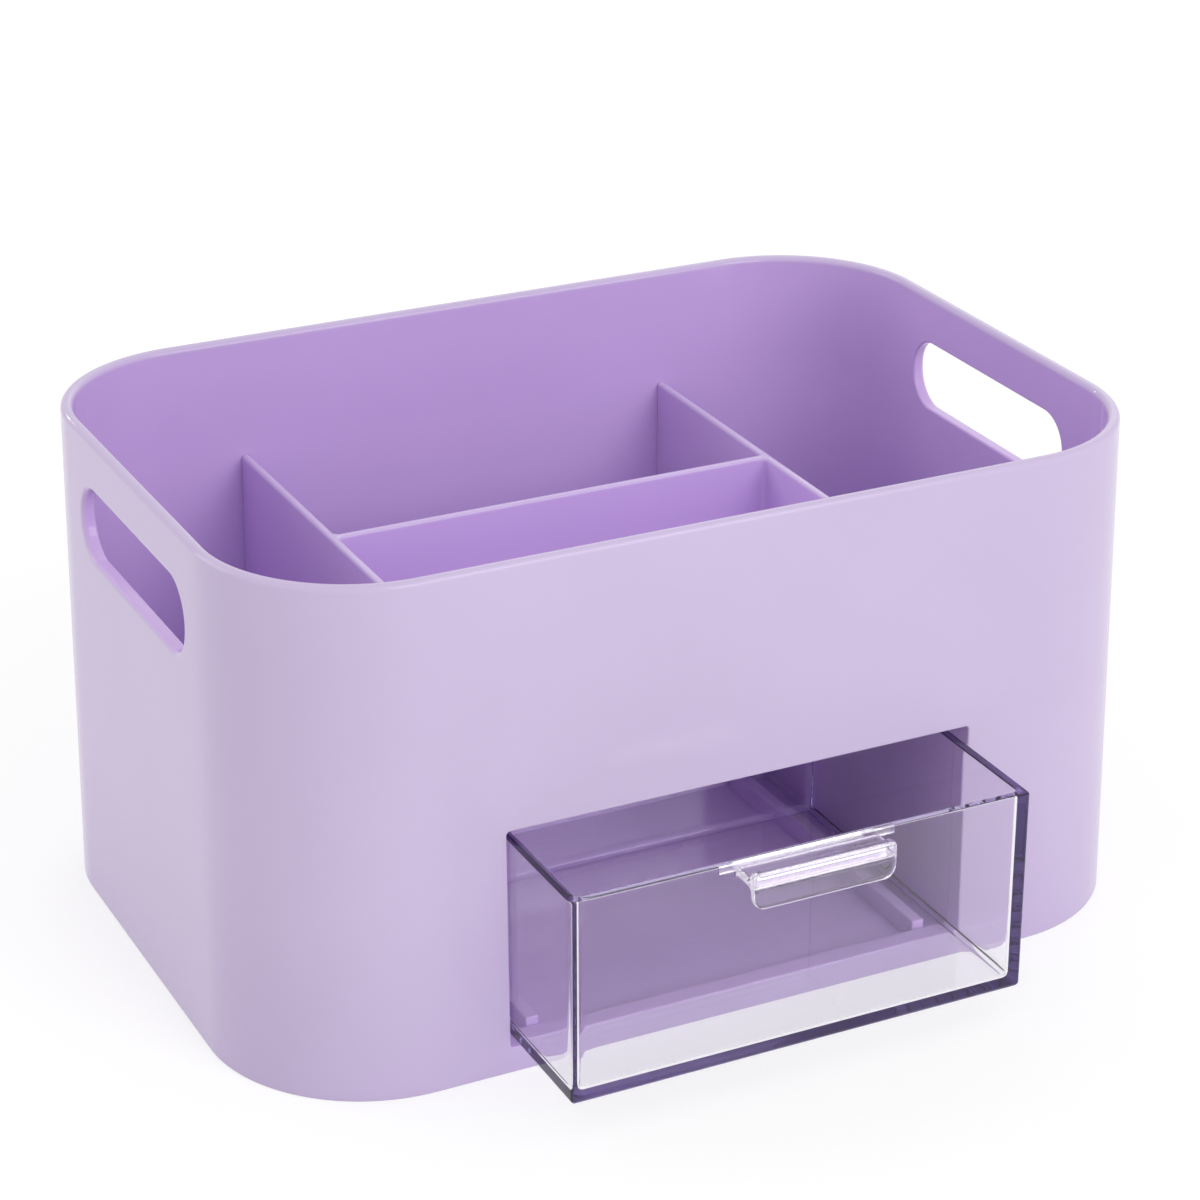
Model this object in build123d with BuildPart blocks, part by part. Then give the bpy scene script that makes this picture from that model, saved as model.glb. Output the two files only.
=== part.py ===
"""Makeup organizer: a gloss tote with four open compartments, and a clear drawer under one of them.

Millimetres. The origin is the middle of the tote's underside, on the surface it stands on.
+X runs along the front to the right, +Y goes to the back and +Z is up.
The drawer is drawn as it stands in use, part way out of its bay.
"""
import os
from math import atan, degrees

from build123d import *

# Tote, its length and depth measured over the outside of the rim
tote_length = 215.0
tote_depth = 149.0
tote_height = 116.5
corner_radius = 35.0
wall = 2.8                  # at the rim; the inner faces are upright
base_flare = 1.8            # how far the base stands out past the rim on every side
rim_flat = 0.1              # what the two rim roundings leave flat on top
floor_thickness = 2.8
floor_round = 3.0           # inside, where the floor meets the walls
base_round = 0.4            # outside, along the edge it stands on

# Grip holes, one in each end wall
grip_length = 65.0
grip_height = 16.7
grip_end_radius = 8.0
grip_drop = 20.1            # from the rim down to the middle of the hole
grip_outer_round = 1.2
grip_inner_round = 0.5

# Drawer, a clear box open at the top
drawer_width = 107.4
drawer_depth = 90.5
drawer_height = 47.3
drawer_wall = 2.0
drawer_floor = 2.2
drawer_inner_round = 1.5
drawer_side_round = 0.7     # outside, down its four corners
drawer_foot_round = 1.4     # outside, round its underside
drawer_lip_round = 0.35
drawer_out = 30.0           # how far it stands open
drawer_left_gap = 0.3       # it lies nearly against the left side of its bay

# Bay and window that the drawer slides in
side_gap = 1.7              # on each side of a drawer in the middle of the bay
top_gap = 1.7               # from the drawer's rim up to the window's upper edge
sill_height = 6.0           # from the underside of the tote to the window's lower edge
drawer_lift = 2.0           # from the sill up to the drawer's underside
slide_gap = 0.2             # between the drawer's underside and its runners
runner_width = 3.0
runner_inset = 7.0          # from a centred drawer's side to the middle of its runner
rear_gap = 0.5              # behind the shut drawer
front_recess = 0.8          # the shut drawer's front lies this far behind the front wall's face
window_corner = 0.8
window_round = 0.4

# Divider insert: bay cheeks, deck over the drawer and dividers, in one moulding
insert_fit = 0.2            # all round, between the insert and the tote's walls
cheek_wall = 2.2            # at the floor
divider_wall = 2.0          # at the top
divider_lean = 1.4          # how far the long dividers' outer faces draw in from floor to top
divider_drop = 29.0         # from the rim of the tote down to the dividers
divider_top_round = 0.85
divider_root_round = 1.2
deck_thickness = 2.2
deck_gap = 0.4              # from the window's upper edge up to the deck

# Pull, bonded to the drawer's front: a foot let into the rim, an arm, and a lip that hangs down
pull_width = 33.4
pull_reach = 7.8            # from the drawer's front to the face of the lip
lip_thickness = 1.8
lip_drop = 7.5              # from the drawer's rim down to the lip's lower edge
lip_rise = 1.2              # from the drawer's rim up to the top of the lip's bead
lip_low_corner = 3.2
lip_high_corner = 1.5
lip_edge_round = 0.6
arm_drop = 0.7              # from the drawer's rim down to the top of the arm
arm_thickness = 2.2
arm_round = 1.1             # under the arm, where the lip turns down
trough_run = 3.0            # flat top of the arm, from the drawer's front to the foot of the bead
trough_round = 0.8
foot_length = 41.0
foot_height = 1.7
foot_depth = 1.2
bond_gap = 0.05

overrun = 40.0              # how far cutting shapes run past what they cut
same_place = 0.01           # how near two edges' places must be to count as one

# Heights
drawer_bottom = sill_height + drawer_lift
drawer_rim = drawer_bottom + drawer_height
window_top = drawer_rim + top_gap
window_middle = (sill_height + window_top) / 2
deck_bottom = window_top + deck_gap
deck_top = deck_bottom + deck_thickness
divider_top = tote_height - divider_drop
grip_z = tote_height - grip_drop
runner_top = drawer_bottom - slide_gap
root_height = arm_drop + arm_thickness

# Widths, from the middle of the tote outwards
bay_half = drawer_width / 2 + side_gap
cheek_outer = bay_half + cheek_wall
divider_outer = cheek_outer - divider_lean
divider_inner = divider_outer - divider_wall
runner_x = drawer_width / 2 - runner_inset
drawer_x = drawer_left_gap - side_gap

# Depths, from the front backwards
flare_angle = degrees(atan(base_flare / tote_height))
inner_front = -(tote_depth / 2 - wall)
front_face = -(tote_depth / 2 + base_flare * (1 - window_middle / tote_height))
shut_front = front_face + front_recess
bay_rear = shut_front + drawer_depth + rear_gap
drawer_front = shut_front - drawer_out
drawer_middle = drawer_front + drawer_depth / 2


def inside_outline(inset):
    """Length, depth and corner radius of the tote's upright inner faces, drawn in by an inset."""
    shrink = wall + inset
    return tote_length - 2 * shrink, tote_depth - 2 * shrink, corner_radius - shrink


# Tote shell: one moulding of walls and floor, with the grip holes and the drawer window
with BuildPart() as tote_shell:
    with BuildSketch(Plane.XY):
        RectangleRounded(
            tote_length + 2 * base_flare, tote_depth + 2 * base_flare, corner_radius + base_flare
        )
    extrude(amount=tote_height, taper=flare_angle)
    fillet(tote_shell.edges().group_by(Axis.Z)[0], base_round)
    with BuildSketch(Plane.XY.offset(floor_thickness)):
        RectangleRounded(*inside_outline(0))
    extrude(amount=tote_height, mode=Mode.SUBTRACT)
    fillet(tote_shell.edges().filter_by_position(Axis.Z, floor_thickness, floor_thickness), floor_round)
    fillet(tote_shell.edges().group_by(Axis.Z)[-1], (wall - rim_flat) / 2)

    # Grip holes, rounded outside and in
    with BuildSketch(Plane.YZ):
        with Locations((0, grip_z)):
            RectangleRounded(grip_length, grip_height, grip_end_radius)
    extrude(amount=tote_length, both=True, mode=Mode.SUBTRACT)
    grip_edges = tote_shell.edges(Select.LAST).filter_by(Axis.X, reverse=True)
    mid_wall = (tote_length - wall) / 2
    outer_edges = [edge for edge in grip_edges if abs(edge.center().X) > mid_wall]
    inner_edges = [edge for edge in grip_edges if abs(edge.center().X) < mid_wall]
    fillet(outer_edges, grip_outer_round)
    fillet(inner_edges, grip_inner_round)

    # Drawer window through the front wall
    with BuildSketch(Plane.XZ.offset(-inner_front - floor_round)):
        with Locations((0, window_middle)):
            RectangleRounded(2 * bay_half, window_top - sill_height, window_corner)
    extrude(amount=overrun, mode=Mode.SUBTRACT)
    window_edges = tote_shell.edges(Select.LAST).filter_by(Axis.Y, reverse=True)
    fillet([edge for edge in window_edges if edge.center().Y < -tote_depth / 2], window_round)

    # Runners that carry the drawer, from just behind the front wall to the back of the bay
    runner_length = bay_rear - inner_front
    with BuildSketch(Plane.XY.offset(floor_thickness)):
        with Locations(
            (-runner_x, inner_front + runner_length / 2),
            (runner_x, inner_front + runner_length / 2),
        ):
            Rectangle(runner_width, runner_length - 2 * rear_gap)
    extrude(amount=runner_top - floor_thickness)
tote_shell.part.label = "tote_shell"

# The room that the insert may fill: the inside of the tote less the fit
with BuildPart() as insert_room:
    with BuildSketch(Plane.XY.offset(floor_thickness)):
        RectangleRounded(*inside_outline(insert_fit))
    extrude(amount=tote_height)
    fillet(insert_room.edges().group_by(Axis.Z)[0], floor_round + insert_fit)

# Divider insert, made overlong and then trimmed to its room
with BuildPart() as divider_insert:
    # Long dividers, whose feet are the cheeks of the bay
    with BuildSketch(Plane.XZ):
        with BuildLine():
            Polyline(
                (divider_inner, floor_thickness),
                (cheek_outer, floor_thickness),
                (divider_outer, divider_top),
                (divider_inner, divider_top),
                close=True,
            )
        make_face()
        mirror(about=Plane.YZ)
    extrude(amount=tote_depth / 2, both=True)
    # Cross divider, which is also the back of the bay
    with BuildSketch(Plane.XY.offset(floor_thickness)):
        with Locations((0, bay_rear + divider_wall / 2)):
            Rectangle(2 * bay_half, divider_wall)
    extrude(amount=divider_top - floor_thickness)
    # Bay, cut from the front, and the deck over it
    bay_length = bay_rear + tote_depth / 2
    with BuildSketch(Plane.XY.offset(floor_thickness)):
        with Locations((0, bay_rear - bay_length / 2)):
            Rectangle(2 * bay_half, bay_length)
    extrude(amount=deck_bottom - floor_thickness, mode=Mode.SUBTRACT)
    with BuildSketch(Plane.XY.offset(deck_bottom)):
        with Locations((0, bay_rear - bay_length / 2)):
            Rectangle(2 * bay_half, bay_length)
    extrude(amount=deck_thickness)
    # Roundings in the corners of the compartments, then along the tops
    upright = divider_insert.edges().filter_by(Axis.Z)
    corners = [edge for edge in upright if abs(abs(edge.center().X) - divider_inner) < same_place]
    inward = [edge for edge in corners if abs(edge.center().Y) < tote_depth / 2 - wall]
    deck_edges = divider_insert.edges().filter_by_position(Axis.Z, deck_top, deck_top)
    deck_roots = [edge for edge in deck_edges if edge.center().Y > inner_front]
    fillet(inward + deck_roots, divider_root_round)
    fillet(divider_insert.edges().group_by(Axis.Z)[-1], divider_top_round)
    add(insert_room.part, mode=Mode.INTERSECT)
divider_insert.part.label = "divider_insert"

# Drawer box, with the seat for the pull's foot cut along its front rim
with BuildPart() as drawer_box:
    with BuildSketch(Plane.XY.offset(drawer_bottom)):
        with Locations((drawer_x, drawer_middle)):
            RectangleRounded(drawer_width, drawer_depth, drawer_side_round)
    extrude(amount=drawer_height)
    fillet(drawer_box.edges().group_by(Axis.Z)[0], drawer_foot_round)
    inside_floor = drawer_bottom + drawer_floor
    with BuildSketch(Plane.XY.offset(inside_floor)):
        with Locations((drawer_x, drawer_middle)):
            RectangleRounded(
                drawer_width - 2 * drawer_wall, drawer_depth - 2 * drawer_wall, drawer_inner_round
            )
    extrude(amount=drawer_height, mode=Mode.SUBTRACT)
    fillet(drawer_box.edges().filter_by_position(Axis.Z, inside_floor, inside_floor), drawer_inner_round)
    fillet(drawer_box.edges().group_by(Axis.Z)[-1], drawer_lip_round)
    with BuildSketch(Plane.XZ.offset(-drawer_front - foot_depth)):
        with Locations((drawer_x, drawer_rim)):
            Rectangle(foot_length, foot_height, align=(Align.CENTER, Align.MAX))
            Rectangle(pull_width, root_height, align=(Align.CENTER, Align.MAX))
    extrude(amount=overrun, mode=Mode.SUBTRACT)
drawer_box.part.label = "drawer_box"

# Drawer pull: its side profile run along the front, and its foot in the seat
lip_front = drawer_front - pull_reach
lip_back = lip_front + lip_thickness
bead_top = drawer_rim + lip_rise
arm_top = drawer_rim - arm_drop
arm_bottom = arm_top - arm_thickness
lip_bottom = drawer_rim - lip_drop
with BuildPart() as drawer_pull:
    with BuildSketch(Plane.YZ.offset(drawer_x - pull_width / 2)):
        with BuildLine():
            Polyline(
                (drawer_front, arm_bottom),
                (drawer_front, arm_top),
                (drawer_front - trough_run, arm_top),
                (lip_back, bead_top),
                (lip_front, bead_top),
                (lip_front, lip_bottom),
                (lip_back, lip_bottom),
                (lip_back, arm_bottom),
                close=True,
            )
        make_face()
    extrude(amount=pull_width)
    across = drawer_pull.edges().filter_by(Axis.Y)
    fillet(across.group_by(Axis.Z)[0], lip_low_corner)
    across = drawer_pull.edges().filter_by(Axis.Y)
    fillet(across.group_by(Axis.Z)[-1], lip_high_corner)
    for corner_y, corner_z, radius in (
        (lip_back, arm_bottom, arm_round),
        (drawer_front - trough_run, arm_top, trough_round),
    ):
        along = drawer_pull.edges().filter_by(Axis.X)
        fillet(along.sort_by_distance((drawer_x, corner_y, corner_z))[0], radius)
    fillet(drawer_pull.faces().sort_by(Axis.Y)[0].edges(), lip_edge_round)
    with BuildSketch(Plane.XZ.offset(-drawer_front)):
        with Locations((drawer_x, drawer_rim)):
            Rectangle(foot_length - 2 * bond_gap, foot_height - bond_gap, align=(Align.CENTER, Align.MAX))
            Rectangle(pull_width - 2 * bond_gap, root_height - bond_gap, align=(Align.CENTER, Align.MAX))
    extrude(amount=-(foot_depth - bond_gap))
drawer_pull.part.label = "drawer_pull"

pieces = [tote_shell, divider_insert, drawer_box, drawer_pull]
os.makedirs("parts", exist_ok=True)
for piece in pieces:
    export_step(piece.part, f"parts/{piece.part.label}.step")
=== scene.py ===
"""Makeup organizer: a gloss lavender tote with a divider insert, and a clear drawer with a pull.

Sizes in the classes are in millimetres and become metres when a mesh is made. +X runs along the front to
the right, +Y goes to the back and +Z is up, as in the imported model.
"""
import logging
import math
from dataclasses import dataclass, field
from enum import Enum
from typing import Any, Iterable, Sequence

import bpy
import numpy as np
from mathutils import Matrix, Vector


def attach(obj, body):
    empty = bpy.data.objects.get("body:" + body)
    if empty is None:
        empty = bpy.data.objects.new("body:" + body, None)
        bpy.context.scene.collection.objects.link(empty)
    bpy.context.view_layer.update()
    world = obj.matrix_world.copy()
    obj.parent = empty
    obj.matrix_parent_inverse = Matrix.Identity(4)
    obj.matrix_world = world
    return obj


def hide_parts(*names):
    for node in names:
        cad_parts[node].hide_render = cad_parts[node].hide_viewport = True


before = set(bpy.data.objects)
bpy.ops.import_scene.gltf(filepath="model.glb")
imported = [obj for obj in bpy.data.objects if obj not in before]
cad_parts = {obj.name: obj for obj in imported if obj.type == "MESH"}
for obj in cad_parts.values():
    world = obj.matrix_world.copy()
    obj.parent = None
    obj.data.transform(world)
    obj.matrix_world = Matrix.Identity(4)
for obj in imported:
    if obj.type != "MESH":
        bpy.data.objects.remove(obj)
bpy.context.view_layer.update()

LOG = logging.getLogger("makeup_organizer")

Array = np.ndarray
Colour = tuple[float, float, float]

MM = 0.001  # metres in a millimetre
WELD = 2e-6  # metres; points nearer than this are one
WELD_SHIFT = 0.37  # moves the steps of WELD off the round sizes, by this share of a step
SHARP = math.radians(38)  # edges that turn by more than this are shaded as edges
PHOTO_WIDTH = 1200  # pixels
PLASTIC_IOR = 1.49
WHITE_LIGHT: Colour = (1.0, 1.0, 1.0)
NOISE_MIDDLE = 0.5
DECIMALS = 12  # that a unit vector along an axis is rounded to
MIX_FIRST, MIX_SECOND, MIX_RESULT = 6, 7, 2  # a Mix node's sockets for colours
PAINTED_INSIDE_INDEX = 1  # number of the tote's inside material, with its painted bounce light and fill, among its materials


class Body(Enum):
    """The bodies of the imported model."""

    TOTE = "tote"
    DRAWER = "drawer"


class Slot(Enum):
    """The record's material slots, one for each of the new pieces."""

    TOTE = "tote_plastic"
    DRAWER = "clear_drawer"
    PULL = "clear_pull"


class Side(Enum):
    """The sides of a rounded rectangle, in the order in which an outline goes round them."""

    FRONT = 0
    RIGHT = 1
    BACK = 2
    LEFT = 3

    @property
    def turn(self) -> float:
        """Angle of this side's outward direction, from +X towards +Y."""
        return (self.value - 1) * math.pi / 2

    @property
    def outward(self) -> Array:
        """Unit vector out of this side."""
        return np.array([math.cos(self.turn), math.sin(self.turn)]).round(DECIMALS)

    @property
    def along(self) -> Array:
        """Unit vector in which an outline runs along this side."""
        return np.array([-math.sin(self.turn), math.cos(self.turn)]).round(DECIMALS)

    def half(self, size: Sequence[float]) -> tuple[float, float]:
        """Half lengths along and across this side, of a rectangle with these half sizes in X and Y."""
        return (size[0], size[1]) if self.value % 2 == 0 else (size[1], size[0])


class Ray(Enum):
    """Kinds of ray that a material may tell apart."""

    CAMERA = "Is Camera Ray"
    GLOSSY = "Is Glossy Ray"
    TRANSMISSION = "Is Transmission Ray"
    SHADOW = "Is Shadow Ray"


# Meshes


def stations(stops: Sequence[float], cells: Sequence[int]) -> Array:
    """Rising positions that go through every stop, with a number of equal cells between each two.

    Args:
        stops: The places that have to be met.
        cells: How many cells lie between one stop and the next.

    Returns:
        The positions, one more than there are cells.
    """
    runs = [np.linspace(a, b, n, endpoint=False) for a, b, n in zip(stops, stops[1:], cells)]
    return np.concatenate([*runs, [stops[-1]]])


def quarter(cells: int) -> Array:
    """Angles of a quarter turn in equal steps, in radians."""
    return np.radians(np.linspace(0, 90, cells + 1))


def directions(angle: Array) -> Array:
    """Unit vectors at these angles, as rows of a cosine and a sine."""
    return np.column_stack([np.cos(angle), np.sin(angle)])


def arc(centre: tuple[float, float], radius: float, start: float, end: float, cells: int) -> Array:
    """Points on a circular arc: the centre plus the radius times the cosine and sine of a rising angle.

    Args:
        centre: Middle of the circle.
        radius: Its radius.
        start: First angle, in degrees.
        end: Last angle, in degrees.
        cells: Number of steps between them.

    Returns:
        An array of cells + 1 rows of two.
    """
    return centre + radius * directions(np.radians(np.linspace(start, end, cells + 1)))


class Solid:
    """Patches of points on grids, welded along their shared edges into one closed mesh."""

    def __init__(self) -> None:
        """Starts with no patches."""
        self._points: list[Array] = []
        self._cells: list[Array] = []
        self._finishes: list[Array] = []
        self._count = 0

    def grid(
        self,
        points: Array,
        ring: bool = False,
        keep: Array | None = None,
        flip: bool = False,
        finish: Array | int = 0,
    ) -> None:
        """Adds one patch. A cell faces the side from which its columns and then its rows turn anticlockwise.

        Args:
            points: Array of rows, columns and three coordinates, in millimetres.
            ring: Joins the last column to the first.
            keep: Which cells to make, as an array of rows and columns of cells; all of them if left out.
            flip: Turns the patch to face the other way.
            finish: Number of the cells' material, the same for all or one for each row of cells.
        """
        rows, columns = points.shape[:2]
        index = np.arange(rows * columns).reshape(rows, columns) + self._count
        if ring:
            index = np.hstack([index, index[:, :1]])
        cells = np.stack([index[:-1, :-1], index[:-1, 1:], index[1:, 1:], index[1:, :-1]], axis=-1)
        keep = np.ones(cells.shape[:2], bool) if keep is None else keep
        finishes = np.broadcast_to(np.reshape(finish, (-1, 1)), keep.shape)
        self._points.append(points.reshape(-1, 3) * MM)
        self._cells.append(cells[keep][:, ::-1] if flip else cells[keep])
        self._finishes.append(finishes[keep])
        self._count += rows * columns

    def block(self, points: Array) -> None:
        """Adds the six sides of a block of points.

        Args:
            points: Array of three indices and three coordinates. The directions in which the indices rise
                turn like X, Y and Z.
        """
        for axis in range(3):
            for end in (0, -1):
                self.grid(np.take(points, end, axis), flip=(end == 0) == (axis == 1))

    def mesh(self, name: str) -> bpy.types.Mesh:
        """Welds the patches, drops cells that close to nothing and shades the rest smooth up to sharp edges.

        Args:
            name: Name of the mesh.

        Returns:
            The mesh, in metres.
        """
        points, cells = np.concatenate(self._points), np.concatenate(self._cells)
        steps = np.floor(points / WELD + WELD_SHIFT).astype(np.int64)
        _, first, place = np.unique(steps, axis=0, return_index=True, return_inverse=True)
        cells = place.reshape(-1)[cells]
        doubled = cells == np.roll(cells, -1, axis=1)
        whole, closed = doubled.sum(axis=1) == 0, doubled.sum(axis=1) == 1
        used = np.zeros(len(first), bool)
        used[cells[whole]] = used[cells[closed]] = True
        cells = (np.cumsum(used) - 1)[cells]
        triangles = cells[closed][~doubled[closed]].reshape(-1, 3)
        finishes = np.concatenate(self._finishes)
        finishes = np.concatenate([finishes[whole], finishes[closed]]).astype(np.int32)
        made = bpy.data.meshes.new(name)
        made.from_pydata(points[first][used].tolist(), [], cells[whole].tolist() + triangles.tolist())
        made.polygons.foreach_set("material_index", finishes)
        made.shade_smooth()
        made.set_sharp_from_angle(angle=SHARP)
        return made


@dataclass
class Outline:
    """Places round a rounded rectangle, which a sweep can stretch to any size and radius.

    A place is its fixed point, plus its stretch times how far the corners' centres are drawn beyond the
    fixed half sizes, plus its outward direction times the radius.
    """

    half: tuple[float, float]
    fixed: Array
    stretch: Array
    outward: Array
    sides: dict[Side, slice]  # which places lie on each side, with its corners' ends

    @classmethod
    def of(cls, across: Array, along: Array, corner_cells: int, ends: int = 0) -> "Outline":
        """Makes an outline from the places that it needs on its sides.

        Args:
            across: Rising places along X on the front and back, the same on both sides of 0.
            along: Rising places along Y on the two ends.
            corner_cells: Steps round each corner.
            ends: Extra steps from the last place on a side to its corner, which take up the stretch.

        Returns:
            The outline, anticlockwise from the front's left end.
        """
        half = (float(across[-1]), float(along[-1]))
        out = np.linspace(0, 1, ends + 1)[1:]
        round_corner = (corner_cells - 1, 1)
        fixed, stretch, outward, sides, count = [], [], [], {}, 0
        for side in Side:
            places = across if side in (Side.FRONT, Side.BACK) else along
            length, depth = side.half(half)
            reach = np.concatenate([-out[::-1], np.zeros(len(places)), out])
            place = np.concatenate([np.full(ends, -length), places, np.full(ends, length)])
            corner = side.along * length + side.outward * depth
            fixed += [np.outer(place, side.along) + side.outward * depth, np.tile(corner, round_corner)]
            stretch += [
                np.outer(reach, side.along) + side.outward, np.tile(side.along + side.outward, round_corner)
            ]
            angle = side.turn + np.linspace(0, math.pi / 2, corner_cells + 1)[1:-1]
            outward += [np.tile(side.outward, (len(place), 1)), directions(angle)]
            sides[side] = slice(count, count + len(place))
            count += len(place) + corner_cells - 1
        return cls(half, np.vstack(fixed), np.vstack(stretch), np.vstack(outward), sides)

    def sweep(self, profile: Array) -> Array:
        """Carries the outline along a profile.

        Args:
            profile: Rows of the corner centres' X and Y, the radius and the height.

        Returns:
            Grid of points, one row for each row of the profile.
        """
        core, radius, height = profile[:, :2], profile[:, 2], profile[:, 3]
        beyond = (core - self.half)[:, None, :]
        flat = self.fixed + self.stretch * beyond + self.outward * radius[:, None, None]
        return np.dstack([flat, np.broadcast_to(height[:, None], flat.shape[:2])])


def profile_rows(
    core: tuple[float, float], radius: Iterable[float] | float, height: Iterable[float] | float
) -> Array:
    """Rows of a profile with the same corner centres."""
    radius, height = np.broadcast_arrays(np.atleast_1d(radius), np.atleast_1d(height))
    return np.column_stack([np.tile(core, (len(radius), 1)), radius, height])


def rounded_path(
    corners: Sequence[tuple[float, float]], radii: Sequence[float], cells: Sequence[int], side: int
) -> tuple[Array, Array]:
    """A line through corners that are rounded: each arc's centre plus its radius along a turning direction.

    Args:
        corners: The first point, the corners and the last point.
        radii: Radius at each corner.
        cells: Steps along the first straight, round the first corner, along the second straight, and so on.
        side: 1 if the outside lies to the right of the line, -1 if it lies to the left.

    Returns:
        The points, and the directions out of the line.
    """
    corners = np.array(corners, float)
    runs = np.diff(corners, axis=0)
    lengths = np.linalg.norm(runs, axis=1)
    runs /= lengths[:, None]
    heading = np.unwrap(np.arctan2(runs[:, 1], runs[:, 0]))
    turns = np.diff(heading)
    cut = np.concatenate([[0], np.array(radii) * np.tan(np.abs(turns) / 2), [0]])
    points, angles = [], []
    for k, run in enumerate(runs):
        along = np.linspace(cut[k], lengths[k] - cut[k + 1], cells[2 * k], endpoint=False)
        points.append(corners[k] + along[:, None] * run)
        angles.append(np.full(len(along), heading[k]))
        if k < len(turns):
            angle = heading[k] + np.linspace(0, turns[k], cells[2 * k + 1], endpoint=False)
            turn = np.sign(turns[k]) * radii[k]
            start = corners[k + 1] - cut[k + 1] * run
            points.append(start + turn * np.column_stack([
                np.sin(angle) - np.sin(heading[k]), np.cos(heading[k]) - np.cos(angle)
            ]))
            angles.append(angle)
    points.append(corners[-1:])
    angles.append(heading[-1:])
    angle = np.concatenate(angles)
    return np.vstack(points), side * np.column_stack([np.sin(angle), -np.cos(angle)])


def plate(across: Array, along: Array, height: float) -> Array:
    """Flat grid of points facing up: every place across by every place along, at one height."""
    x, y = np.meshgrid(across, along)
    return np.dstack([x, y, np.full_like(x, height)])


# Shader nodes


class Wire:
    """A shader node's output. Arithmetic on it adds Math nodes."""

    def __init__(self, graph: "Graph", socket: bpy.types.NodeSocket) -> None:
        """Keeps the graph and the socket."""
        self.graph = graph
        self.socket = socket

    def other(self, name: str) -> "Wire":
        """Another output of the same node."""
        return Wire(self.graph, self.socket.node.outputs[name])

    def math(self, operation: str, *values: Any) -> "Wire":
        """A Math node with this wire as its first value."""
        return self.graph.node("ShaderNodeMath", {"operation": operation}, dict(enumerate((self, *values))))

    def _swapped(self, operation: str, first: Any) -> "Wire":
        """A Math node with this wire as its second value."""
        return self.graph.node("ShaderNodeMath", {"operation": operation}, {0: first, 1: self})

    def __add__(self, value: Any) -> "Wire":
        """Sum."""
        return self.math("ADD", value)

    def __radd__(self, value: Any) -> "Wire":
        """Sum, with the wire on the right."""
        return self._swapped("ADD", value)

    def __sub__(self, value: Any) -> "Wire":
        """Difference."""
        return self.math("SUBTRACT", value)

    def __rsub__(self, value: Any) -> "Wire":
        """Difference, with the wire on the right."""
        return self._swapped("SUBTRACT", value)

    def __mul__(self, value: Any) -> "Wire":
        """Product."""
        return self.math("MULTIPLY", value)

    def __rmul__(self, value: Any) -> "Wire":
        """Product, with the wire on the right."""
        return self._swapped("MULTIPLY", value)

    def __truediv__(self, value: Any) -> "Wire":
        """Quotient."""
        return self.math("DIVIDE", value)

    def __rtruediv__(self, value: Any) -> "Wire":
        """Quotient, with the wire on the right."""
        return self._swapped("DIVIDE", value)


@dataclass(frozen=True)
class Grain:
    """A noise: its lumps' width in millimetres, how many finer layers it has and how strong they are."""

    size: float
    detail: float
    roughness: float = 0.5


class Graph:
    """The node tree of a material or a world, emptied and then built up."""

    def __init__(self, owner: bpy.types.Material | bpy.types.World) -> None:
        """Turns nodes on and clears them."""
        owner.use_nodes = True
        self.tree = owner.node_tree
        self.tree.nodes.clear()

    def node(
        self, kind: str, settings: dict[str, Any], inputs: dict[str | int, Any], output: str | int = 0
    ) -> Wire:
        """Adds a node.

        Args:
            kind: Type name of the node.
            settings: Its own properties, set before its sockets. A ramp's stops are pairs of place and
                colour, of which the first is at 0 and the last at 1.
            inputs: Value or wire for each named or numbered socket.
            output: Which output to return.

        Returns:
            The node's output.
        """
        made = self.tree.nodes.new(kind)
        for name, value in settings.items():
            if name == "stops":
                ramp = made.color_ramp.elements
                for place, _ in value[1:-1]:
                    ramp.new(place)
                for stop, (_, colour) in zip(ramp, value):
                    stop.color = (*colour, 1.0)
            else:
                setattr(made, name, value)
        for name, value in inputs.items():
            if isinstance(value, Wire):
                self.tree.links.new(value.socket, made.inputs[name])
            else:
                wide = isinstance(value, tuple) and len(value) == 3 and made.inputs[name].type == "RGBA"
                made.inputs[name].default_value = (*value, 1.0) if wide else value
        return Wire(self, made.outputs[output] if made.outputs else made.inputs[0])

    def blend(self, share: Wire | float, first: Any, second: Any) -> Wire:
        """Mixes two colours, from the first at 0 to the second at 1, in the node's sockets for colours."""
        colours = {0: share, MIX_FIRST: first, MIX_SECOND: second}
        return self.node("ShaderNodeMix", {"data_type": "RGBA"}, colours, output=MIX_RESULT)

    def noise(self, place: Wire, grain: Grain) -> Wire:
        """Smooth noise between 0 and 1, about 0.5."""
        scale = 1 / (grain.size * MM)
        inputs = {"Vector": place, "Scale": scale, "Detail": grain.detail, "Roughness": grain.roughness}
        return self.node("ShaderNodeTexNoise", {}, inputs, output="Fac")

    def ramp(self, value: Wire, start: float, end: float) -> Wire:
        """0 up to start, 1 from end on, and smooth between."""
        smooth = {"interpolation_type": "SMOOTHSTEP"}
        return self.node("ShaderNodeMapRange", smooth, {0: value, 1: start, 2: end})

    def bump(self, relief: Wire) -> Wire:
        """The surface's normal under a relief in metres."""
        return self.node("ShaderNodeBump", {}, {"Strength": 1.0, "Distance": 1.0, "Height": relief})

    def place(self) -> Wire:
        """Object coordinates."""
        return self.node("ShaderNodeTexCoord", {}, {}, output="Object")

    def height(self, place: Wire) -> Wire:
        """Z of a place, in metres."""
        return self.node("ShaderNodeSeparateXYZ", {}, {0: place}, output="Z")

    def rays(self, *kinds: Ray) -> Wire:
        """1 for rays of any of these kinds, and 0 for the rest."""
        first = self.node("ShaderNodeLightPath", {}, {}, output=kinds[0].value)
        total = first
        for kind in kinds[1:]:
            total = total.math("MAXIMUM", first.other(kind.value))
        return total

    def finish(self, kind: str, inputs: dict[str, Any]) -> None:
        """Adds the output node."""
        self.node(kind, {}, inputs)


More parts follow.
